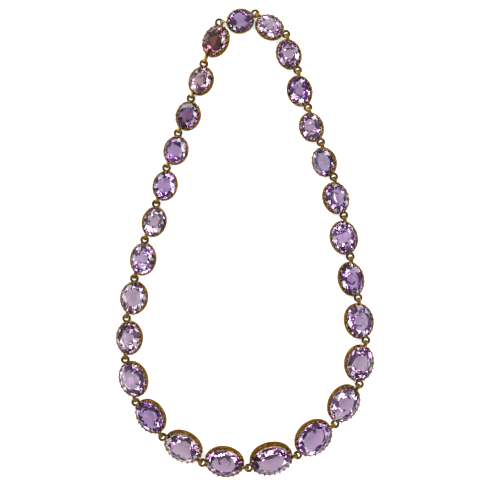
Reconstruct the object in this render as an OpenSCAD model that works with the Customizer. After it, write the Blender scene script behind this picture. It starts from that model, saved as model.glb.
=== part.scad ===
// Amethyst necklace: a closed chain of graduated oval stones in claw collets.
// It lies face up on the plane z = 0, with +Y towards the back of the neck and +Z out of the stones.
// Millimetres and degrees.

/* [Stones] */
// Width of a stone's table as a share of the stone's width
table_share = 0.62; // [0.55:0.01:0.68]
// Depth of the pavilion as a share of the stone's half width
pavilion_share = 0.84; // [0.7:0.02:0.9]
// Height of the crown as a share of the stone's half width
crown_share = 0.30; // [0.24:0.01:0.34]
// Thickness of the girdle
girdle_t = 0.3; // [0.2:0.05:0.4]

/* [Collets] */
// Distance from the claws' outer edge in to the stone's girdle
rim_w = 0.84; // [0.8:0.01:0.88]
// Thickness of the wall's foot
wall_t = 0.6; // [0.5:0.05:0.65]
// Thickness of the band above the foot, whose top edge reaches in under the stone
bearing_w = 1.2; // [1.1:0.02:1.26]
// Height of the wall as a share of the girdle's height; the claws stand up from it
wall_share = 0.76; // [0.7:0.02:0.8]
// Distance from the girdle down to the thin ledge inside the claws
ledge_drop = 0.4; // [0.35:0.05:0.6]
// How far the wall's foot is set in from the band above it
foot_in = 0.2; // [0.15:0.05:0.25]
// Height of the wall's foot as a share of the wall's height
foot_share = 0.3; // [0.2:0.05:0.35]
// Space under the point of the stone
culet_gap = 0.3; // [0.2:0.1:0.6]
// Distance between the centres of neighbouring claws
claw_pitch = 2.1; // [1.8:0.05:2.4]
// Width of one claw
claw_w = 0.6; // [0.4:0.05:0.7]

/* [Links] */
// Radius of a ring to the centre of its wire
ring_r = 1.25; // [1.2:0.05:1.35]
// Radius of a ring's wire
wire_r = 0.43; // [0.35:0.01:0.43]
// Radius of the hole in a strap loop
loop_hole_r = 0.62; // [0.58:0.01:0.64]
// Thickness of a strap
strap_t = 0.32; // [0.28:0.02:0.34]
// Width of a strap where it passes through a ring
strap_w = 0.9; // [0.8:0.05:0.95]
// Width of a strap's flap over the ring
flap_w = 1.8; // [1.4:0.1:1.9]
// Width of the clasp's tongue
tongue_w = 1.9; // [1.5:0.1:2.0]

/* [Hidden] */
// One row for each stone, clockwise from the top of the loop, as it lies:
// x, y of the ring at the stone's trailing end,
// turn of the collet from the line between its two links (anticlockwise),
// lean of the collet's face away from the middle of the loop,
// ratio of the collet's width to its length,
// reach from the ring before it to the rim of its collet.
CHAIN = [
    //    x      y   turn lean ratio reach
    [   4.0,  89.0,   1,  -2, 0.89, 2.8],
    [  16.0,  81.0,   5,   5, 0.82, 2.0],
    [  20.5,  67.0,   0,  -4, 0.83, 2.0],
    [  24.5,  52.5,  -1,  -4, 0.81, 2.0],
    [  29.5,  39.0,  -5,  -6, 0.83, 2.0],
    [  34.5,  25.5,  -4, -12, 0.83, 2.0],
    [  38.5,  10.5,   3,   7, 0.80, 2.0],
    [  41.0,  -5.5,   4,   0, 0.82, 2.0],
    [  44.0, -21.5,   2,   4, 0.76, 2.0],
    [  47.0, -38.0,   2,   5, 0.83, 2.0],
    [  44.5, -55.0,  -1,   7, 0.80, 2.0],
    [  35.0, -70.5,   2,   7, 0.77, 2.0],
    [  20.5, -82.5,   3,   8, 0.79, 2.0],
    [   1.5, -87.5,  -1,  15, 0.74, 2.0],
    [ -16.5, -85.5,  -4,   8, 0.77, 2.0],
    [ -32.0, -75.5,   4,  11, 0.74, 2.0],
    [ -42.5, -62.0,  -4,  10, 0.75, 2.0],
    [ -46.5, -45.5,   4,   6, 0.79, 2.0],
    [ -46.0, -29.5,   1,   5, 0.79, 2.0],
    [ -43.0, -14.0,   1,   2, 0.84, 2.0],
    [ -39.0,   1.0,   7,   0, 0.81, 2.0],
    [ -34.5,  15.0,   3,  -6, 0.81, 2.0],
    [ -30.5,  29.0,   2,   0, 0.83, 2.0],
    [ -26.0,  42.5,   3,   3, 0.85, 2.0],
    [ -21.0,  56.0,   4,   4, 0.84, 2.0],
    [ -16.0,  69.5,  -3,   5, 0.83, 2.0],
    [ -10.0,  85.5,  -5,   7, 0.78, 3.4]
];
TURN = 2;
LEAN = 3;
RATIO = 4;
REACH = 5;
COUNT = len(CHAIN);

// Distance from a ring's centre back to the rim of its own collet
ring_reach = 1.0;
// Sideways distance of the links outward from the middle of a collet
link_offset = 1.4;
// Height of the links on a collet as a share of the collet's half width
link_share = 0.38;
// Distance from the claws' outer edge in to the top edge of the wall
wall_in = 0.12;
// Distance from the claws' outer edge in to their inner face; the girdle lies just inside it
claw_t = 0.77;
// How far the wall's foot laps up inside the band above it, and the ledge down into it
foot_lap = 0.3;
// Distance from the claws' outer edge in to the ledge
ledge_in = 0.46;
// Thickness of the ledge
ledge_t = 0.4;
// How far a claw's tip reaches in over the stone
claw_bite = 0.2;
// Height of a claw's tip above the girdle
claw_tip = 0.45;
// Depth to which a strap is let into the wall
let_in = 0.3;
// Height of a strap and of the clasp's tongue where they meet a wall
tail_h = 0.8;
// Clearance of the clasp's tongue in its slot
slot_gap = 0.12;
// Width of a flap's narrow end, at the wall
flap_end_w = 1.4;
// Height of a flap's underside above the hole of its loop
flap_lift = 0.08;
// How far a flap reaches on past its loop, over the hole of the ring
flap_reach = 0.3;
// Angle between the points round a stone's girdle
facet_step = 22.5;
// Radius of the stars' outer points as a share of the stone's
star_r = 0.82;
// Radius and depth of the edge between the pavilion's two rows, as shares of the stone's
row_r = 0.64;
row_depth = 0.6;
// Moves the middle of the whole outline onto x = 0
centre_x = -0.05;
// Moves the middle of the whole outline onto y = 0
centre_y = 0.18;
// The small overlap that makes a cut go right through
eps = 0.01;
GOLD = [0.66, 0.50, 0.22];
PALE_GOLD = [0.80, 0.70, 0.45];
AMETHYST = [0.58, 0.42, 0.74];

// Links and chords. Stone i runs from the link before it to its own ring.
function link(i) = [CHAIN[(i + COUNT) % COUNT].x + centre_x, CHAIN[(i + COUNT) % COUNT].y + centre_y];
function chord(i) = link(i) - link(i - 1);
function chord_len(i) = norm(chord(i));
function chord_dir(i) = atan2(chord(i).y, chord(i).x);
function turn(i) = CHAIN[i][TURN];
function lean(i) = CHAIN[(i + COUNT) % COUNT][LEAN];

// Half length of the rim, so that an oval of the row's ratio cuts the chord at both its reaches
function spread(i) = sqrt(pow(sin(turn(i)), 2) + pow(CHAIN[i][RATIO] * cos(turn(i)), 2));
function half_span(i) = (chord_len(i) - CHAIN[i][REACH] - ring_reach) / 2;
function rim_a(i) =
    sqrt(pow(link_offset, 2) + pow(half_span(i) * pow(spread(i), 2) / CHAIN[i][RATIO], 2)) / spread(i);
function rim_b(i) = rim_a(i) * CHAIN[i][RATIO];
// How far a turned oval shifts the middle of its cut on the chord
function skew(i) =
    let (q = 1 / pow(CHAIN[i][RATIO], 2))
    link_offset * sin(turn(i)) * cos(turn(i)) * (q - 1) / (pow(cos(turn(i)), 2) + q * pow(sin(turn(i)), 2));
// Place of the collet's middle along the chord
function middle(i) = (CHAIN[i][REACH] + chord_len(i) - ring_reach) / 2 - skew(i);

// Heights inside one collet
function stone_w(i) = rim_b(i) - rim_w;
function girdle_z(i) = culet_gap + pavilion_share * stone_w(i);
function wall_top(i) = wall_share * girdle_z(i);
function base_b(i) = rim_b(i) - wall_in - foot_in;
function link_up(i) = link_share * rim_b(i);
// Height of the lean's axis above the ground, with the lowest edge of the base on the ground
function axis_z(i) = let (j = (i + COUNT) % COUNT)
    link_up(j) * cos(lean(j)) + base_b(j) * abs(sin(lean(j)));
function link_z(i) = (axis_z(i) + axis_z(i + 1)) / 2;

// Distance from a point on the chord's line, seen from the collet's middle, to an oval a by b
function oval_cut(i, a, b) =
    let (
        s = sin(turn(i)), c = cos(turn(i)),
        u = pow(c / a, 2) + pow(s / b, 2),
        v = link_offset * s * c * (1 / (a * a) - 1 / (b * b)),
        w = pow(link_offset * s / a, 2) + pow(link_offset * c / b, 2) - 1
    )
    [(-v + sqrt(v * v - u * w)) / u, (-v - sqrt(v * v - u * w)) / u];
// Places along the chord where the outside of the wall stands at link height: start and end
function wall_cut(i) =
    let (cut = oval_cut(i, rim_a(i) - wall_in, rim_b(i) - wall_in))
    [middle(i) + cut[1], middle(i) + cut[0]];

function claw_count(a, b) =
    round(PI * (3 * (a + b) - sqrt((3 * a + b) * (a + 3 * b))) / claw_pitch);
// Angle on the oval that spaces the claws evenly along it
function even_angle(u, a, b) = u + (a - b) / (a + b) / 2 * sin(2 * u) * 180 / PI;

function two_digits(n) = str(n < 10 ? "0" : "", n);
function setting_name(i) = str("setting_", two_digits(i + 1));
function stone_name(i) = str("stone_", two_digits(i + 1));

// Puts its children on the chord of stone i, with x along it and y outward
module on_chord(i) {
    translate([link(i - 1).x, link(i - 1).y, 0]) rotate([0, 0, chord_dir(i)]) children();
}

// Puts its children in the collet of stone i, turned and leaned, with x along the collet
module in_collet(i) {
    on_chord(i)
        translate([middle(i), -link_offset, axis_z(i)])
            rotate([0, 0, turn(i)])
                rotate([-lean(i), 0, 0])
                    translate([0, 0, -link_up(i)]) children();
}

// An upright oval band: its outside stands inset in from the rim's edge
module oval_band(i, inset, thick, from, to) {
    a = rim_a(i) - inset;
    b = rim_b(i) - inset;
    translate([0, 0, from])
        linear_extrude(height = to - from)
            difference() {
                scale([a / b, 1]) circle(r = b, $fn = 96);
                scale([(a - thick) / (b - thick), 1]) circle(r = b - thick, $fn = 96);
            }
}

// An oval with one corner in the middle of each claw, inset in from the rim's edge
module claw_oval(i, inset) {
    a = rim_a(i);
    b = rim_b(i);
    n = claw_count(a, b);
    polygon([
        for (k = [0 : n - 1])
            let (t = even_angle((k + 0.5) * 360 / n, a, b)) [(a - inset) * cos(t), (b - inset) * sin(t)]
    ]);
}

// The thin ledge under the girdle: straight bars from claw to claw, let into the band
module ledge(i) {
    from = wall_top(i) - foot_lap;
    translate([0, 0, from])
        linear_extrude(height = girdle_z(i) - ledge_drop - from)
            difference() {
                claw_oval(i, ledge_in);
                claw_oval(i, ledge_in + ledge_t);
            }
}

// The wall: a foot that is set in a little, the band above it, and the ledge
module collet_wall(i) {
    foot_h = foot_share * wall_top(i);
    difference() {
        oval_band(i, wall_in + foot_in, wall_t, -1, foot_h + foot_lap);
        translate([-rim_a(i), -rim_b(i), -2]) cube([2 * rim_a(i), 2 * rim_b(i), 2]);
    }
    oval_band(i, wall_in, bearing_w, foot_h, wall_top(i));
    ledge(i);
}

// One claw, seen from the side: x outward from the rim's edge, y up. Its foot is let into the wall.
module claw_outline(i) {
    top = wall_top(i);
    edge = girdle_z(i) + girdle_t;
    polygon([
        [-claw_t, 0.45 * top], [-claw_t / 2 - wall_in, 0.45 * top], [0, 0.75 * top],
        [0, edge], [-0.1, edge + 0.25], [-0.35, edge + claw_tip],
        [-rim_w, edge + claw_tip], [-rim_w - claw_bite, edge + claw_tip - 0.12],
        [-claw_t, edge + 0.06]
    ]);
}

module claws(i) {
    a = rim_a(i);
    b = rim_b(i);
    n = claw_count(a, b);
    for (k = [0 : n - 1])
        let (t = even_angle((k + 0.5) * 360 / n, a, b))
        translate([a * cos(t), b * sin(t), 0])
            rotate([0, 0, atan2(a * sin(t), b * cos(t))])
                rotate([90, 0, 0])
                    linear_extrude(height = claw_w, center = true) claw_outline(i);
}

// The flat ring at the trailing end, soldered to the wall where its wire meets it
module ring(i) {
    translate([chord_len(i), 0, link_z(i)])
        rotate_extrude($fn = 48) translate([ring_r, 0]) circle(r = wire_r, $fn = 24);
}

// A loop round the wire of the ring before stone i, open along y
module strap_loop(i) {
    translate([ring_r, 0, link_z(i - 1)])
        rotate([90, 0, 0])
            difference() {
                cylinder(h = strap_w, r = loop_hole_r + strap_t, center = true, $fn = 48);
                cylinder(h = strap_w + 2 * eps, r = loop_hole_r, center = true, $fn = 48);
            }
}

// The upright strap at the leading end: its loop, the tail soldered to the wall,
// and the flap on top that spreads over the wire of the ring
module strap(i) {
    tail_from = ring_r + loop_hole_r + strap_t / 2;
    flap_from = ring_r - loop_hole_r - strap_t - flap_reach;
    to = wall_cut(i)[0] + let_in;
    strap_loop(i);
    translate([tail_from, -strap_w / 2, link_z(i - 1) - tail_h / 2])
        cube([to - tail_from, strap_w, tail_h]);
    translate([0, 0, link_z(i - 1) + loop_hole_r + flap_lift])
        linear_extrude(height = strap_t)
            polygon([
                [flap_from, -flap_w / 2], [to, -flap_end_w / 2],
                [to, flap_end_w / 2], [flap_from, flap_w / 2]
            ]);
}

// The slot that takes the clasp's tongue, from outside the first collet's claws into its hollow
module tongue_slot() {
    w = tongue_w + 2 * slot_gap;
    h = tail_h + 2 * slot_gap;
    depth = bearing_w + 5 * let_in;
    on_chord(0)
        translate([wall_cut(0)[0] - 2 * let_in, -w / 2, link_z(-1) - h / 2])
            cube([depth, w, h]);
}

module setting(i) color(GOLD) {
    difference() {
        in_collet(i) {
            collet_wall(i);
            claws(i);
        }
        if (i == 0) tongue_slot();
    }
    on_chord(i) {
        ring(i);
        if (i > 0) strap(i);
    }
}

// The clasp: a loop on the last ring, and a flat tongue that widens and snaps into the first collet
module clasp_tongue() color(PALE_GOLD) on_chord(0) {
    from = ring_r + loop_hole_r + strap_t / 2;
    neck = from + 0.5;
    to = wall_cut(0)[0] + wall_t + 0.2;
    strap_loop(0);
    translate([0, 0, link_z(-1) - tail_h / 2])
        linear_extrude(height = tail_h)
            polygon([
                [from, -strap_w / 2], [neck, -tongue_w / 2], [to, -tongue_w / 2],
                [to, tongue_w / 2], [neck, tongue_w / 2], [from, strap_w / 2]
            ]);
}

// Point k of the 16 round a circle of radius r at height z
function facet_point(r, k, z) = [r * cos(k * facet_step), r * sin(k * facet_step), z];

// A cut stone of half length a and half width b, with its girdle's lower edge on z = 0:
// a brilliant's crown of table, stars, kites and upper girdle facets,
// over a pavilion of one steep row and one shallow row that meet in a point.
module oval_cut_stone(a, b, crown, pavilion) {
    star_z = crown * (1 - star_r * cos(facet_step)) / (1 - table_share);
    points = concat(
        [for (k = [0 : 7]) facet_point(table_share, 2 * k, girdle_t + crown)],
        [for (k = [0 : 7]) facet_point(star_r, 2 * k + 1, girdle_t + star_z)],
        [for (k = [0 : 15]) facet_point(1, k, girdle_t)],
        [for (k = [0 : 15]) facet_point(1, k, 0)],
        [for (k = [0 : 15]) facet_point(row_r, k, -row_depth * pavilion)],
        [[0, 0, -pavilion]]
    );
    // First point of each group
    star = 8;
    upper = 16;
    lower = 32;
    row = 48;
    culet = 64;
    faces = concat(
        [[for (k = [7 : -1 : 0]) k]],
        [for (k = [0 : 7]) [k, (k + 1) % 8, star + k]],
        [for (k = [0 : 7]) [k, star + k, upper + 2 * k, star + (k + 7) % 8]],
        [for (k = [0 : 7]) [star + k, upper + 2 * k + 1, upper + 2 * k]],
        [for (k = [0 : 7]) [star + k, upper + (2 * k + 2) % 16, upper + 2 * k + 1]],
        [for (k = [0 : 15]) [upper + k, upper + (k + 1) % 16, lower + (k + 1) % 16, lower + k]],
        [for (k = [0 : 15]) [lower + k, lower + (k + 1) % 16, row + (k + 1) % 16, row + k]],
        [for (k = [0 : 15]) [row + k, row + (k + 1) % 16, culet]]
    );
    polyhedron([for (p = points) [p.x * a, p.y * b, p.z]], faces, convexity = 2);
}

module stone(i) color(AMETHYST)
    in_collet(i)
        translate([0, 0, girdle_z(i)])
            oval_cut_stone(
                rim_a(i) - rim_w, stone_w(i), crown_share * stone_w(i), pavilion_share * stone_w(i)
            );

for (i = [0 : COUNT - 1]) {
    setting(i);
    stone(i);
}
clasp_tongue();
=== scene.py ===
"""Amethyst necklace, seen from straight above on a white table.

Each setting, each stone and the clasp's tongue is built here in full detail, in the place of its
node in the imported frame. Lengths in the tables are millimetres; meshes are made in metres.
"""

import math
import random
from types import SimpleNamespace

import bmesh
import bpy
from mathutils import Matrix, Vector, noise


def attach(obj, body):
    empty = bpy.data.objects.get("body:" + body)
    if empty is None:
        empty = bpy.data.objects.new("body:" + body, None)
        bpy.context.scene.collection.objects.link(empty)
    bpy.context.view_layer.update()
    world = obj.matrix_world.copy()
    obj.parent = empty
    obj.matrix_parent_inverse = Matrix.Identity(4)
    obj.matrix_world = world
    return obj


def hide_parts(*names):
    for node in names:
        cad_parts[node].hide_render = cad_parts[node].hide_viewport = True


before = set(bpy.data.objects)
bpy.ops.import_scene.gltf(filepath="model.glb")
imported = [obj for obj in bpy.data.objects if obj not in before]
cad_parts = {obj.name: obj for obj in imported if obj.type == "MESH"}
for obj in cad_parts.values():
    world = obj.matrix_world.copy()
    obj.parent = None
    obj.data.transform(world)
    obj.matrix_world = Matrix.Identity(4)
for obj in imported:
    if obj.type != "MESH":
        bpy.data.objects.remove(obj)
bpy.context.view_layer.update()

MM = 0.001

# The layout of the chain: one row a stone, clockwise from the top. x and y of the ring at its
# trailing end, turn and lean of its collet in degrees, width as a share of its length, and reach
# from the ring before.
CHAIN = [
    (4.0, 89.0, 1, -2, 0.89, 2.8), (16.0, 81.0, 5, 5, 0.82, 2.0),
    (20.5, 67.0, 0, -4, 0.83, 2.0), (24.5, 52.5, -1, -4, 0.81, 2.0),
    (29.5, 39.0, -5, -6, 0.83, 2.0), (34.5, 25.5, -4, -12, 0.83, 2.0),
    (38.5, 10.5, 3, 7, 0.80, 2.0), (41.0, -5.5, 4, 0, 0.82, 2.0),
    (44.0, -21.5, 2, 4, 0.76, 2.0), (47.0, -38.0, 2, 5, 0.83, 2.0),
    (44.5, -55.0, -1, 7, 0.80, 2.0), (35.0, -70.5, 2, 7, 0.77, 2.0),
    (20.5, -82.5, 3, 8, 0.79, 2.0), (1.5, -87.5, -1, 15, 0.74, 2.0),
    (-16.5, -85.5, -4, 8, 0.77, 2.0), (-32.0, -75.5, 4, 11, 0.74, 2.0),
    (-42.5, -62.0, -4, 10, 0.75, 2.0), (-46.5, -45.5, 4, 6, 0.79, 2.0),
    (-46.0, -29.5, 1, 5, 0.79, 2.0), (-43.0, -14.0, 1, 2, 0.84, 2.0),
    (-39.0, 1.0, 7, 0, 0.81, 2.0), (-34.5, 15.0, 3, -6, 0.81, 2.0),
    (-30.5, 29.0, 2, 0, 0.83, 2.0), (-26.0, 42.5, 3, 3, 0.85, 2.0),
    (-21.0, 56.0, 4, 4, 0.84, 2.0), (-16.0, 69.5, -3, 5, 0.83, 2.0),
    (-10.0, 85.5, -5, 7, 0.78, 3.4),
]
COUNT = len(CHAIN)
# moves the middle of the whole outline to the origin
CENTRE = (-0.05, 0.18)

# Collet: the rim outside the stone, the wall's thickness, and how far the wall stands in from the
# claws and the foot from the wall
RIM_W, WALL_T, WALL_IN, FOOT_IN = 0.84, 0.6, 0.12, 0.2
# height of the wall as a share of the girdle's, and of the foot as a share of the wall's
WALL_SHARE, FOOT_SHARE = 0.76, 0.3
# step from claw to claw, share of its width that a claw may gain or lose, and drop from the girdle
# to the ledge
CLAW_PITCH, CLAW_WOBBLE, LEDGE_DROP = 2.1, 0.14, 0.4
# the ledge's edge: how far it dips between two claws, and is notched under claws and teeth
EDGE_DIP, EDGE_NOTCH = 0.06, 0.08
# Stone: room under its point, depth and crown as shares of its half width, girdle
CULET_GAP, PAVILION, CROWN, GIRDLE = 0.3, 0.84, 0.30, 0.3
# Ring: its radius and its wire's, and the share of the wire's that comes and goes
RING_R, WIRE_R, WIRE_SWELL = 1.25, 0.49, 0.03
# beads of solder that hold it: half sizes, and how far back and aside from its middle they sit
SOLDER, SOLDER_BACK, SOLDER_ASIDE = (0.34, 0.42, 0.36), 1.06, 0.72
# Strap: radius inside its loop, thickness, width, and how deep it is let into the wall
HOLE_R, STRAP_T, STRAP_W, LET_IN = 0.62, 0.32, 0.9, 0.3
# its flap: width, width at the wall, how much higher it lies than the loop, how far it reaches
# past the loop, and half sizes of its solder
FLAP_W, FLAP_END_W, FLAP_LIFT, FLAP_REACH, FLAP_SOLDER = 1.8, 1.4, 0.08, 0.3, (0.26, 0.66, 0.22)
# Clasp: width of the tongue, and its reach past the wall
TONGUE_W, TONGUE_PAST = 1.9, 0.2
# Reach of a ring from its collet, and where the links meet a collet: how far aside of its middle,
# and how far up as a share of its half width
RING_REACH, LINK_OFFSET, LINK_SHARE = 1.0, 1.4, 0.38

# Steps round the wall from claw to claw, round a ring and round its wire; degrees a step of a loop
WALL_STEPS, RING_STEPS, WIRE_STEPS, LOOP_STEP = 12, 48, 14, 20
# How far the middle point of a rounded corner stands in, as a share of its radius, and how far a
# bead of solder stops short of its poles, as a share of half a turn
CORNER_IN, POLE = 0.3, 0.03


# Layout of the chain

def post(i):
    """The middle of the ring at the trailing end of collet i."""
    row = CHAIN[i % COUNT]
    return Vector((row[0] + CENTRE[0], row[1] + CENTRE[1], 0))


def layout(i):
    """Sizes and places of one collet, as the frame has them; a and b are half its length and width."""
    turn, lean, ratio, reach = CHAIN[i][2:]
    start, end = post(i - 1), post(i)
    length = (end - start).length
    s, c = math.sin(math.radians(turn)), math.cos(math.radians(turn))
    # the oval is as long as makes it cover this much of the chord on each side
    span = (length - reach - RING_REACH) / 2
    spread = math.hypot(s, ratio * c)
    a = math.hypot(LINK_OFFSET, span * spread ** 2 / ratio) / spread
    b = a * ratio
    # the middle of what it covers lies this far along from its own middle
    q = 1 / ratio ** 2
    skew = LINK_OFFSET * s * c * (q - 1) / (c * c + q * s * s)
    middle = (reach + length - RING_REACH) / 2 - skew
    girdle = CULET_GAP + PAVILION * (b - RIM_W)
    up = LINK_SHARE * b
    tilt = math.radians(lean)
    axis = up * math.cos(tilt) + (b - WALL_IN - FOOT_IN) * abs(math.sin(tilt))
    way = end - start
    chord = Matrix.Translation(start) @ Matrix.Rotation(math.atan2(way.y, way.x), 4, "Z")
    collet = (chord @ Matrix.Translation((middle, -LINK_OFFSET, axis))
              @ Matrix.Rotation(math.radians(turn), 4, "Z") @ Matrix.Rotation(-tilt, 4, "X")
              @ Matrix.Translation((0, 0, -up)))
    # the chord meets the outside of the wall where u * x * x + 2 * v * x + w is 0
    wa, wb = a - WALL_IN, b - WALL_IN
    u = (c / wa) ** 2 + (s / wb) ** 2
    v = LINK_OFFSET * s * c * (1 / wa ** 2 - 1 / wb ** 2)
    w = (LINK_OFFSET * s / wa) ** 2 + (LINK_OFFSET * c / wb) ** 2 - 1
    root = math.sqrt(v * v - u * w)
    return SimpleNamespace(
        i=i, a=a, b=b, length=length, girdle=girdle, top=WALL_SHARE * girdle,
        axis=axis, chord=chord, collet=collet, enter=middle + (-v - root) / u,
    )


LINKS = [layout(i) for i in range(COUNT)]


def link_z(i):
    """Height of the ring between collet i and the next."""
    return (LINKS[i % COUNT].axis + LINKS[(i + 1) % COUNT].axis) / 2


# Meshes

class Shape:
    """Points and faces in millimetres. Each point carries its patina and painted shade, from 0, worn and
    painted lit, to 1, black.
    """

    def __init__(self):
        self.points, self.dark, self.faces = [], [], []

    def loft(self, rings, closed=False, place=Matrix()):
        """Skins a list of sections, each a list of (point, patina and painted shade), and caps them if
        not closed.
        """
        first, n, m = len(self.points), len(rings[0]), len(rings)
        for ring in rings:
            for p, d in ring:
                self.points.append(place @ Vector(p))
                self.dark.append(d)
        for j in range(m if closed else m - 1):
            for k in range(n):
                a, b = first + j * n + k, first + j * n + (k + 1) % n
                c, d = first + ((j + 1) % m) * n + (k + 1) % n, first + ((j + 1) % m) * n + k
                self.faces.append((a, b, c, d))
        if not closed:
            self.faces.append(tuple(first + k for k in range(n))[::-1])
            self.faces.append(tuple(first + (m - 1) * n + k for k in range(n)))

    def sweep(self, stations, place=Matrix(), corner=0.35):
        """A strip in the x-z plane: (x, z, half thickness, half width, patina and painted shade) a
        station.
        """
        rings = []
        for j, (x, z, t, w, d) in enumerate(stations):
            p, q = stations[max(j - 1, 0)], stations[min(j + 1, len(stations) - 1)]
            way = Vector((q[0] - p[0], q[1] - p[1])).normalized()
            nx, nz = -way.y, way.x
            r = corner * min(t, w) * 2
            cut = CORNER_IN * r
            # half of the section, from the top down, and its mirror image
            half = [(w - r, t), (w - cut, t - cut), (w, t - r), (w, r - t),
                    (w - cut, cut - t), (w - r, -t)]
            section = half + [(-y, h) for y, h in reversed(half)]
            rings.append([((x + nx * h, y, z + nz * h), d) for y, h in section])
        self.loft(rings, place=place)

    def lump(self, centre, size, place, dark, n=10, m=6):
        """A small rounded bead of solder, of n by m facets."""
        rings = []
        for j in range(m + 1):
            e = math.pi * (POLE + (1 - 2 * POLE) * j / m) - math.pi / 2
            rings.append([((centre[0] + size[0] * math.cos(e) * math.cos(2 * math.pi * k / n),
                            centre[1] + size[1] * math.cos(e) * math.sin(2 * math.pi * k / n),
                            centre[2] + size[2] * math.sin(e)), dark) for k in range(n)])
        self.loft(rings, place=place)

    def build(self, name, material, smooth=38):
        """Makes the piece; edges under the angle smooth are shaded round, and 0 keeps facets."""
        mesh = bpy.data.meshes.new(name)
        mesh.from_pydata([p * MM for p in self.points], [], self.faces)
        work = bmesh.new()
        work.from_mesh(mesh)
        bmesh.ops.recalc_face_normals(work, faces=work.faces)
        if not smooth:
            bmesh.ops.triangulate(work, faces=work.faces)
        work.to_mesh(mesh)
        work.free()
        # each point's patina and painted shade, which the gold's colour follows
        attribute = mesh.attributes.new("patina_and_shade", "FLOAT", "POINT")
        attribute.data.foreach_set("value", self.dark)
        if smooth:
            mesh.shade_smooth()
            mesh.set_sharp_from_angle(angle=math.radians(smooth))
        mesh.materials.append(material)
        piece = bpy.data.objects.new(name, mesh)
        bpy.context.scene.collection.objects.link(piece)
        return piece


def claw_count(link):
    """The claws round a collet, one a pitch, by a close formula for the length of an oval."""
    a, b = link.a, link.b
    return round(math.pi * (3 * (a + b) - math.sqrt((3 * a + b) * (a + 3 * b))) / CLAW_PITCH)


def even_angle(u, a, b):
    """Angle on the oval for things spaced evenly along it; u is their angle on a circle."""
    return u + (a - b) / (a + b) / 2 * math.sin(2 * u)


def collet_wall(shape, link):
    """The band round the stone: a set-in foot, a rounded step, and a ledge that carries the girdle."""
    foot, top, ledge = FOOT_SHARE * link.top, link.top, link.girdle - LEDGE_DROP
    count = claw_count(link) * WALL_STEPS
    rings = []
    for k in range(count):
        t = even_angle(2 * math.pi * k / count, link.a, link.b)
        # near is 1 at the claws; notch is 1 at the claws and at the teeth between them
        near = 0.5 - 0.5 * math.cos(2 * math.pi * k / WALL_STEPS)
        notch = 0.5 + 0.5 * math.cos(4 * math.pi * k / WALL_STEPS)
        lip = ledge - EDGE_DIP * (1 - near) - EDGE_NOTCH * notch
        # the edge is painted darker in its notches, as painted shade
        edge = 0.15 * notch
        # up the outside, over the ledge and down the inside: inset from the oval, height, patina and
        # painted shade, darkest in the step at the foot and on the inside under the stone
        profile = [
            (0.40, 0.0, 0.6), (0.335, 0.03, 0.4), (0.32, 0.12, 0.3), (0.32, foot - 0.12, 0.7),
            (0.31, foot - 0.02, 1.0), (0.24, foot + 0.03, 0.9), (0.16, foot + 0.07, 0.4),
            (0.13, foot + 0.16, 0.2), (0.12, foot + 0.34, 0.35), (0.12, 0.5 * (foot + top), 0.4),
            (0.12, top - 0.22, 0.3), (0.15, top - 0.08, 0.1), (0.24, top, 0.1),
            (0.36, top + 0.01, 0.3), (0.46, top + 0.03, 0.5), (0.51, top + 0.12, 0.4),
            (0.52, 0.5 * (top + lip), 0.3), (0.53 + 0.03 * notch, lip - 0.08, 0.15 + edge),
            (0.58, lip, 0.3 + edge), (0.84, lip, 0.5 + edge), (0.92, lip - 0.06, 0.7),
            (0.96, top - 0.05, 0.8), (1.24, top - 0.26, 0.7), (1.32, top - 0.4, 0.6),
            (1.32, foot + 0.25, 0.6), (1.16, foot + 0.05, 0.7), (0.92, foot - 0.05, 0.7),
            (0.92, 0.12, 0.6), (0.88, 0.03, 0.5), (0.80, 0.0, 0.5),
        ]
        rings.append([(((link.a - d) * math.cos(t), (link.b - d) * math.sin(t), z), p)
                      for d, z, p in profile])
    shape.loft(rings, closed=True, place=link.collet)


def on_rim(link, turn):
    """A place on the collet's oval, at a share of a whole turn, with x pointing outwards."""
    t = even_angle(2 * math.pi * turn, link.a, link.b)
    out = math.atan2(link.a * math.sin(t), link.b * math.cos(t))
    return (link.collet @ Matrix.Translation((link.a * math.cos(t), link.b * math.sin(t), 0))
            @ Matrix.Rotation(out, 4, "Z"))


def claws(shape, link):
    """Small prongs that stand on the wall and bend in over the girdle, with low teeth between."""
    n = claw_count(link)
    edge, low = link.girdle + GIRDLE, link.girdle - LEDGE_DROP
    # stations of both: out from the oval, height, half thickness, half width, patina and painted shade,
    # dark low on the wall and painted lit where they bend over the girdle
    for k in range(n):
        # each claw has its own place in the noise
        w = 1 + CLAW_WOBBLE * noise.noise(Vector((link.i * 3.1, k * 1.7, 0.4)))
        shape.sweep([
            (-0.38, 0.46 * link.top, 0.24, 0.14 * w, 0.8), (-0.37, 0.60 * link.top, 0.32, 0.24 * w, 0.5),
            (-0.37, 0.78 * link.top, 0.36, 0.29 * w, 0.5), (-0.38, link.top, 0.37, 0.30 * w, 0.55),
            (-0.39, edge - 0.35, 0.37, 0.30 * w, 0.5), (-0.42, edge - 0.05, 0.35, 0.29 * w, 0.3),
            (-0.50, edge + 0.10, 0.30, 0.28 * w, 0.15), (-0.62, edge + 0.21, 0.23, 0.26 * w, 0.0),
            (-0.76, edge + 0.28, 0.17, 0.23 * w, 0.0), (-0.90, edge + 0.31, 0.12, 0.18 * w, 0.2),
            (-0.99, edge + 0.30, 0.07, 0.11 * w, 0.5),
        ], place=on_rim(link, (k + 0.5) / n))
        shape.sweep([
            (-0.56, low - 0.3, 0.12, 0.24, 0.5), (-0.57, low + 0.05, 0.14, 0.25, 0.3),
            (-0.59, low + 0.28, 0.14, 0.23, 0.05), (-0.63, low + 0.42, 0.11, 0.18, 0.0),
            (-0.68, low + 0.48, 0.06, 0.10, 0.2),
        ], place=on_rim(link, k / n))


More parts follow.
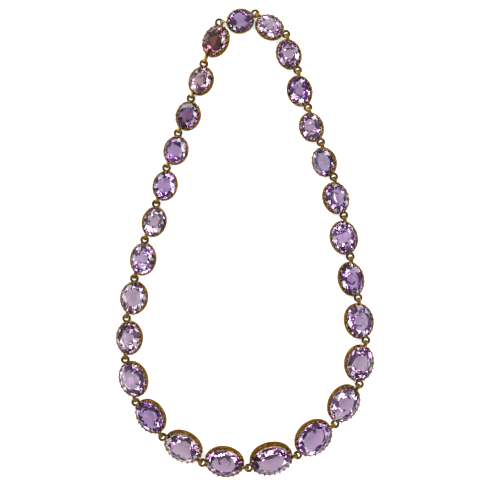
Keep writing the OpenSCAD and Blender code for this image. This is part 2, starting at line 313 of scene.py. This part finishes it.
def ring(shape, link):
    """The flat ring at the trailing end, with the solder that holds it to the wall."""
    z = link_z(link.i)
    rings = []
    for k in range(RING_STEPS):
        t = 2 * math.pi * k / RING_STEPS
        wire = WIRE_R * (1 - WIRE_SWELL + WIRE_SWELL * math.sin(3 * t + link.i))
        section = []
        for j in range(WIRE_STEPS):
            e = 2 * math.pi * j / WIRE_STEPS
            r = RING_R + wire * math.cos(e)
            # 1 along the top of the wire, where the level falls to 0.35: worn and painted lit on top,
            # patina and painted shade on the sides and underneath
            worn_and_lit = max(0.0, math.sin(e)) ** 3
            section.append(((link.length + r * math.cos(t), r * math.sin(t), z + wire * math.sin(e)),
                            0.8 - 0.45 * worn_and_lit))
        rings.append(section)
    shape.loft(rings, closed=True, place=link.chord)
    for side in (-1, 1):
        shape.lump((link.length - SOLDER_BACK, side * SOLDER_ASIDE, z), SOLDER, link.chord, 0.35)


def loop_round(start, end, z, bright, dark, shade):
    """Stations of a loop round a ring's wire, from one angle to another; painted in shade past the angle
    shade.
    """
    mid = HOLE_R + STRAP_T / 2
    stations = []
    for deg in range(start, end + 1, LOOP_STEP):
        e = math.radians(deg)
        stations.append((RING_R + mid * math.cos(e), z + mid * math.sin(e), STRAP_T / 2,
                         STRAP_W / 2, dark if deg > shade else bright))
    return stations


def strap(shape, link):
    """The loop through the ring before the stone, its tail, and the flap over the ring's wire."""
    z, wall = link_z(link.i - 1), link.enter + LET_IN
    t, out = STRAP_T / 2, RING_R + HOLE_R + STRAP_T / 2
    # x, z, half thickness, half width, patina and painted shade; the tail under the flap is painted in
    # shade
    tail = [(out + 0.2, z - 0.24, t, STRAP_W / 2, 0.7), (wall, z - 0.2, t, STRAP_W / 2, 0.7)]
    shape.sweep(loop_round(60, 300, z, 0.35, 0.75, 110) + tail, place=link.chord)
    top, tip = z + HOLE_R + FLAP_LIFT + t, RING_R - HOLE_R - STRAP_T - FLAP_REACH
    # the flap is painted lit along its top and painted in shade where it bends down into the ring
    shape.sweep([
        (wall, top, t, FLAP_END_W / 2, 0.3), (link.enter - 0.15, top, t, FLAP_END_W / 2, 0.1),
        (RING_R + 0.35, top + 0.01, t, FLAP_W / 2 - 0.12, 0.0),
        (RING_R - 0.1, top, t, FLAP_W / 2 - 0.03, 0.0), (tip + 0.62, top - 0.02, t, FLAP_W / 2, 0.1),
        (tip + 0.36, top - 0.07, t, FLAP_W / 2 - 0.02, 0.35),
        (tip + 0.16, top - 0.15, t, FLAP_W / 2 - 0.12, 0.6),
        (tip + 0.05, top - 0.25, 0.12, FLAP_W / 2 - 0.26, 0.8),
        (tip + 0.02, top - 0.33, 0.08, FLAP_W / 2 - 0.4, 0.9),
    ], place=link.chord)
    # the solder between the loop and the flap, at the wall
    shape.lump((link.enter - 0.02, 0, z + 0.72), FLAP_SOLDER, link.chord, 0.3)


def clasp_tongue(shape, link):
    """A loop on the last ring, and a flat doubled tongue that widens and snaps into the collet."""
    z = link_z(-1)
    start, to = RING_R + HOLE_R + STRAP_T / 2, link.enter + WALL_T + TONGUE_PAST
    shape.sweep(loop_round(20, 340, z, 0.35, 0.65, 150), place=link.chord)
    # the two leaves: x, z, half thickness, half width, patina and painted shade; the lower leaf is
    # painted in shade
    for side, dark in ((1, 0.0), (-1, 0.3)):
        shape.sweep([
            (start - 0.12, z + side * 0.20, 0.17, STRAP_W / 2 - 0.02, 0.5),
            (start + 0.15, z + side * 0.205, 0.19, STRAP_W / 2 + 0.14, 0.2),
            (start + 0.42, z + side * 0.205, 0.19, TONGUE_W / 2 - 0.06, dark),
            (start + 0.6, z + side * 0.205, 0.19, TONGUE_W / 2, dark),
            (to - 0.4, z + side * 0.205, 0.19, TONGUE_W / 2, dark),
            (to, z + side * 0.205, 0.17, TONGUE_W / 2 - 0.03, 0.5),
        ], place=link.chord, corner=0.25)


# Stones

# Rows of a pavilion from the girdle in: share of the radius, share of the depth
ROWS = {
    "two": ((0.82, 0.34), (0.62, 0.62)),
    "small": ((0.80, 0.36), (0.50, 0.66)),
    "fine": ((0.80, 0.38), (0.55, 0.68), (0.3, 0.88)),
    "mid": ((0.78, 0.30), (0.40, 0.70)),
    "lens": ((0.70, 0.42), (0.35, 0.78)),
}
# One row a stone: tint, width of the table as a share, rows of the pavilion, twisted or not, keel
STONES = (
    ("violet", 0.58, "two", True, 0.3), ("mauve", 0.60, "lens", True, 0.3),
    ("mauve", 0.62, "small", True, 0.4), ("violet", 0.58, "lens", True, 0.4),
    ("mauve", 0.62, "lens", True, 0.3), ("blue", 0.68, "two", True, 0.1),
    ("violet", 0.60, "mid", True, 0.4), ("lilac", 0.58, "small", True, 0.3),
    ("violet", 0.56, "mid", True, 0.3), ("lilac", 0.62, "lens", True, 0.3),
    ("pale", 0.60, "two", True, 0.4), ("pale", 0.62, "small", True, 0.4),
    ("lilac", 0.68, "two", True, 0.2), ("mauve", 0.62, "small", True, 0.2),
    ("mauve", 0.66, "lens", True, 0.3), ("grey", 0.70, "two", True, 0.4),
    ("violet", 0.70, "two", True, 0.4), ("pale", 0.62, "two", True, 0.3),
    ("grey", 0.58, "small", True, 0.3), ("grey", 0.62, "two", True, 0.2),
    ("lilac", 0.58, "mid", True, 0.3), ("grey", 0.56, "lens", True, 0.4),
    ("violet", 0.58, "two", True, 0.3), ("violet", 0.60, "two", True, 0.4),
    ("deep", 0.64, "fine", True, 0.4), ("pink", 0.62, "mid", True, 0.4),
    ("brown", 0.66, "two", False, 0.5),
)
# Stained facets of a stone: tint, first and last angle in degrees, reach as a share
STAINS = {
    26: (("tawny", 130, 200, 0.5),),
    27: (("plum", 120, 250, 0.75), ("umber", 250, 360, 0.75), ("amber", 0, 30, 0.8),
         ("umber", 30, 60, 0.75), ("amber", 60, 120, 0.7)),
}
# Only facets with their middle below this height, from the girdle's lower edge, can be stained
UNDER_GIRDLE = -0.1
# How uneven the facets of a crown and a pavilion are, and how far stars sit out, as shares
CROWN_SLACK, PAVILION_SLACK, STAR_OUT = 0.015, 0.03, 0.01
# Millimetres that count as nothing
TINY = 1e-6


def cut_stone(a, b, table, rings, twist, keel, seed, n=16):
    """An oval stone: a brilliant's crown over a pavilion of stepped rows that meet in a ridge.

    rings are (share of the radius, share of the depth) a row; twist turns every other row by half
    a facet, which makes its facets triangles; keel is half the length of the ridge, as a share.
    The facets are a little uneven, as they are on stones cut by hand.
    """
    half, hand = n // 2, random.Random(seed)
    step, star = 2 * math.pi / n, (1 + table) / 2 + STAR_OUT
    crown, pavilion = CROWN * b, PAVILION * b
    points, faces = [], []

    def point(r, angle, z, slack=0.0):
        """Adds a point, up to slack off its place, and gives its number."""
        r *= 1 + slack * hand.uniform(-1, 1)
        z += slack * b * hand.uniform(-1, 1)
        points.append((r * a * math.cos(angle), r * b * math.sin(angle), z))
        return len(points) - 1

    star_z = crown * (1 - star * math.cos(step)) / (1 - table)
    flat = [point(table, 2 * k * step, GIRDLE + crown) for k in range(half)]
    stars = [point(star, (2 * k + 1) * step, GIRDLE + star_z - CROWN_SLACK * b, CROWN_SLACK)
             for k in range(half)]
    upper = [point(1, k * step, GIRDLE) for k in range(n)]
    lower = [point(1, k * step, 0) for k in range(n)]
    faces.append(flat)
    for k in range(half):
        nxt = (k + 1) % half
        faces.append((flat[k], stars[k], flat[nxt]))
        faces.append((flat[k], stars[k - 1], upper[2 * k], stars[k]))
        faces.append((stars[k], upper[2 * k], upper[2 * k + 1]))
        faces.append((stars[k], upper[2 * k + 1], upper[(2 * k + 2) % n]))
    for k in range(n):
        nxt = (k + 1) % n
        faces.append((upper[k], lower[k], lower[nxt], upper[nxt]))
    before = lower
    for j, (r, depth) in enumerate(rings):
        shift = 0.5 if twist and j % 2 == 0 else 0
        row = [point(r, (k + shift) * step, -pavilion * depth, PAVILION_SLACK) for k in range(n)]
        for k in range(n):
            nxt = (k + 1) % n
            if not twist:
                faces.append((before[k], row[k], row[nxt], before[nxt]))
            elif shift:
                faces.append((before[k], row[k], before[nxt]))
                faces.append((row[k], row[nxt], before[nxt]))
            else:
                faces.append((before[k], row[k], row[nxt]))
                faces.append((before[k], row[nxt], before[nxt]))
        before = row
    right, left = point(keel, 0, -pavilion), point(keel, math.pi, -pavilion)
    for k in range(n):
        p, q = before[k], before[(k + 1) % n]
        # each goes to the end of the ridge on its own side; a facet with one on each reaches along it
        at_p, at_q = (right if points[v][0] > -TINY else left for v in (p, q))
        faces.append((p, at_p, q) if at_p == at_q else (p, at_p, at_q, q))
    return points, faces


def stone(link, material):
    """The stone of a collet, with its own cut and stains."""
    shape = Shape()
    table, rows, twist, keel = STONES[link.i][1:]
    points, faces = cut_stone(link.a - RIM_W, link.b - RIM_W, table, ROWS[rows], twist, keel, link.i)
    place = link.collet @ Matrix.Translation((0, 0, link.girdle))
    shape.points = [place @ Vector(p) for p in points]
    shape.dark = [0.0] * len(points)
    shape.faces = faces
    gem = shape.build("amethyst_%02d" % (link.i + 1), material, smooth=0)
    for tint, start, end, reach in STAINS.get(link.i + 1, ()):
        stain(gem, link, place.inverted(), GEMS[tint], start, end, reach)
    return gem


def stain(gem, link, into, material, start, end, reach):
    """Gives the facets of the pavilion in a sector their own material."""
    gem.data.materials.append(material)
    for face in gem.data.polygons:
        x, y, z = into @ (face.center / MM)
        angle = math.degrees(math.atan2(y / link.b, x / link.a))
        inside = math.hypot(x / (link.a - RIM_W), y / (link.b - RIM_W)) < reach
        if z < UNDER_GIRDLE and inside and (angle - start) % 360 < end - start:
            face.material_index = len(gem.data.materials) - 1


# Materials

def new_material(name):
    """A material, its node tree and its shader."""
    material = bpy.data.materials.new(name)
    material.use_nodes = True
    tree = material.node_tree
    return material, tree, tree.nodes["Principled BSDF"]


def ramp(tree, factor, stops):
    """Colours by a factor; a stop is (position, colour), in rising order."""
    node = tree.nodes.new("ShaderNodeValToRGB")
    while len(node.color_ramp.elements) < len(stops):
        node.color_ramp.elements.new(0.5)
    for element, (position, colour) in zip(node.color_ramp.elements, stops):
        element.position = position
        element.color = (*colour, 1)
    tree.links.new(factor, node.inputs[0])
    return node.outputs[0]


def gold_material(name, bright, mid, dark, black):
    """Old gold: worn and painted lit on what stands proud, brown to black with patina and painted shade
    in what doesn't.
    """
    material, tree, shader = new_material(name)
    new, link = tree.nodes.new, tree.links.new
    place = new("ShaderNodeTexCoord")
    patina_and_shade = new("ShaderNodeAttribute")
    patina_and_shade.attribute_name = "patina_and_shade"
    level = patina_and_shade.outputs["Fac"]
    # a broad and a fine cloud: scale, detail, share
    for scale, detail, share in ((420, 4, 0.9), (2600, 3, 0.35)):
        cloud, add = new("ShaderNodeTexNoise"), new("ShaderNodeMath")
        cloud.inputs["Scale"].default_value = scale
        cloud.inputs["Detail"].default_value = detail
        add.operation = "MULTIPLY_ADD"
        add.inputs[1].default_value = share
        link(place.outputs["Object"], cloud.inputs["Vector"])
        link(cloud.outputs["Fac"], add.inputs[0])
        link(level, add.inputs[2])
        level = add.outputs[0]
    # brings patina, painted shade and both clouds together into the ramps' range
    fit = new("ShaderNodeMath")
    fit.operation = "MULTIPLY"
    fit.inputs[1].default_value = 0.6
    link(level, fit.inputs[0])
    level = fit.outputs[0]
    link(ramp(tree, level, ((0.36, bright), (0.50, mid), (0.70, dark), (0.92, black))),
         shader.inputs["Base Color"])
    link(ramp(tree, level, ((0.3, (0.26,) * 3), (0.8, (0.55,) * 3))), shader.inputs["Roughness"])
    shader.inputs["Metallic"].default_value = 1.0
    # keeps the glancing reflections warm
    shader.inputs["Specular Tint"].default_value = (0.75, 0.48, 0.16, 1)
    # the fine cloud also roughens the surface
    bump = new("ShaderNodeBump")
    bump.inputs["Strength"].default_value = 0.35
    bump.inputs["Distance"].default_value = 0.00004
    link(cloud.outputs["Fac"], bump.inputs["Height"])
    link(bump.outputs[0], shader.inputs["Normal"])
    return material


def gem_material(name, colour, density, skin=(1, 1, 1)):
    """Clear quartz, tinted by the length of the light's way in it; a skin tints a stained facet."""
    material, tree, shader = new_material(name)
    shader.inputs["Base Color"].default_value = (*skin, 1)
    shader.inputs["Specular Tint"].default_value = (*skin, 1)
    shader.inputs["Transmission Weight"].default_value = 1.0
    shader.inputs["Roughness"].default_value = 0.0
    shader.inputs["IOR"].default_value = 1.544
    body = tree.nodes.new("ShaderNodeVolumeAbsorption")
    body.inputs["Color"].default_value = (*colour, 1)
    body.inputs["Density"].default_value = density
    tree.links.new(body.outputs[0], tree.nodes["Material Output"].inputs["Volume"])
    return material


# Base colours from worn and painted lit to black, the darker ones for patina and painted shade
GOLD = gold_material("antique_gold", (0.32, 0.185, 0.043), (0.10, 0.054, 0.010),
                     (0.04, 0.021, 0.005), (0.012, 0.007, 0.003))
PALE_GOLD = gold_material("pale_gold", (0.62, 0.48, 0.24), (0.40, 0.29, 0.13),
                          (0.16, 0.10, 0.04), (0.04, 0.025, 0.01))
# Tints: colour of the body, its density a metre, and the skin of a stained facet
STREAKED = ((0.52, 0.25, 0.32), 290)
TINTS = {
    "violet": ((0.44, 0.20, 0.54), 260),
    "lilac": ((0.54, 0.33, 0.61), 215),
    "pale": ((0.56, 0.38, 0.59), 235),
    "grey": ((0.54, 0.36, 0.53), 225),
    "deep": ((0.40, 0.12, 0.42), 400),
    "mauve": ((0.48, 0.25, 0.50), 220),
    "blue": ((0.44, 0.30, 0.54), 300),
    "pink": ((0.50, 0.26, 0.37), 280),
    "brown": STREAKED,
    "amber": (*STREAKED, (1.0, 0.42, 0.12)),
    "umber": (*STREAKED, (0.12, 0.03, 0.01)),
    "plum": (*STREAKED, (0.25, 0.07, 0.10)),
    "tawny": ((0.50, 0.24, 0.36), 260, (0.45, 0.20, 0.08)),
}
GEMS = {name: gem_material("amethyst_" + name, *tint) for name, tint in TINTS.items()}

# Pieces

for link in LINKS:
    metal = Shape()
    collet_wall(metal, link)
    claws(metal, link)
    ring(metal, link)
    if link.i:
        strap(metal, link)
    piece = metal.build("collet_%02d" % (link.i + 1), GOLD)
    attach(piece, "root")
    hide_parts("setting_%02d" % (link.i + 1))

    gem = stone(link, GEMS[STONES[link.i][0]])
    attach(gem, "root")
    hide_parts("stone_%02d" % (link.i + 1))

tongue = Shape()
clasp_tongue(tongue, LINKS[0])
piece = tongue.build("tongue", PALE_GOLD)
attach(piece, "root")
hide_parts("clasp_tongue")

# Stage, lights and camera

# Metres: half the floor's width, the lights' distance, and the camera's place, straight above
FLOOR_HALF, LIGHTS_AWAY = 3, 1.2
CAMERA_AT = (0.00193, -0.00275, 0.7)
# Millimetres: the camera's sensor and lens
SENSOR_WIDTH, LENS = 36, 129.2
# Brightness of the sky by height, from the horizon up
SKY = ((0.0, 1.0), (0.02, 0.28), (0.3, 0.28), (0.6, 0.38), (0.85, 0.52), (0.96, 0.42), (0.99, 0.1))
# Soft boxes: azimuth and elevation in degrees, width and height in metres, radiance
LIGHTS = {
    "key": (-35, 60, 0.28, 0.28, 28),
    "right": (75, 42, 0.25, 0.4, 20),
    "front": (165, 42, 0.4, 0.2, 20),
    "left": (-110, 32, 0.2, 0.5, 14),
    "back": (20, 25, 0.5, 0.2, 14),
}
# Low, middle and high rings of narrow lights, which the facets break up into flashes: how many,
# azimuth of the first, elevation, width, height, radiance
STRIPS = ((8, 8, 15, 0.22, 0.5, 7), (9, 20, 30, 0.07, 0.34, 7), (6, 5, 50, 0.08, 0.3, 7))

floor_mesh = bpy.data.meshes.new("floor")
corners = [(x * FLOOR_HALF, y * FLOOR_HALF, 0) for x, y in ((-1, -1), (1, -1), (1, 1), (-1, 1))]
floor_mesh.from_pydata(corners, [], [(0, 1, 2, 3)])
floor = bpy.data.objects.new("floor", floor_mesh)
bpy.context.scene.collection.objects.link(floor)
material, tree, shader = new_material("white_card")
shader.inputs["Base Color"].default_value = (0.85, 0.85, 0.85, 1)
shader.inputs["Emission Color"].default_value = (1, 1, 1, 1)
shader.inputs["Emission Strength"].default_value = 0.4
shader.inputs["Roughness"].default_value = 0.9
floor_mesh.materials.append(material)

world = bpy.data.worlds.new("studio")
bpy.context.scene.world = world
world.use_nodes = True
tree = world.node_tree
direction, split = tree.nodes.new("ShaderNodeTexCoord"), tree.nodes.new("ShaderNodeSeparateXYZ")
tree.links.new(direction.outputs["Generated"], split.inputs[0])
sky = ramp(tree, split.outputs["Z"], [(z, (v, v, v)) for z, v in SKY])
tree.links.new(sky, tree.nodes["Background"].inputs[0])


def soft_light(name, azimuth, elevation, width, height, radiance):
    """A rectangle of light that faces the necklace; azimuth runs clockwise from +Y."""
    az, el, away = math.radians(azimuth), math.radians(elevation), LIGHTS_AWAY
    light = bpy.data.lights.new(name, "AREA")
    light.shape = "RECTANGLE"
    light.size, light.size_y = width, height
    light.energy = radiance * math.pi * width * height
    lamp = bpy.data.objects.new(name, light)
    lamp.location = (away * math.cos(el) * math.sin(az), away * math.cos(el) * math.cos(az),
                     away * math.sin(el))
    lamp.rotation_euler = (-lamp.location).to_track_quat("-Z", "Y").to_euler()
    lamp.visible_camera = False
    bpy.context.scene.collection.objects.link(lamp)


for name, row in LIGHTS.items():
    soft_light(name, *row)
for count, first, elevation, width, height, radiance in STRIPS:
    for k in range(count):
        soft_light("strip_%d_%d" % (elevation, k), 360 / count * k + first, elevation,
                   width, height, radiance)

camera_data = bpy.data.cameras.new("camera")
camera = bpy.data.objects.new("camera", camera_data)
bpy.context.scene.collection.objects.link(camera)
camera.location = CAMERA_AT
camera_data.sensor_width, camera_data.lens = SENSOR_WIDTH, LENS
camera_data.clip_start, camera_data.clip_end = 0.01, 20
bpy.context.scene.camera = camera
bpy.context.scene.view_settings.view_transform = "Standard"
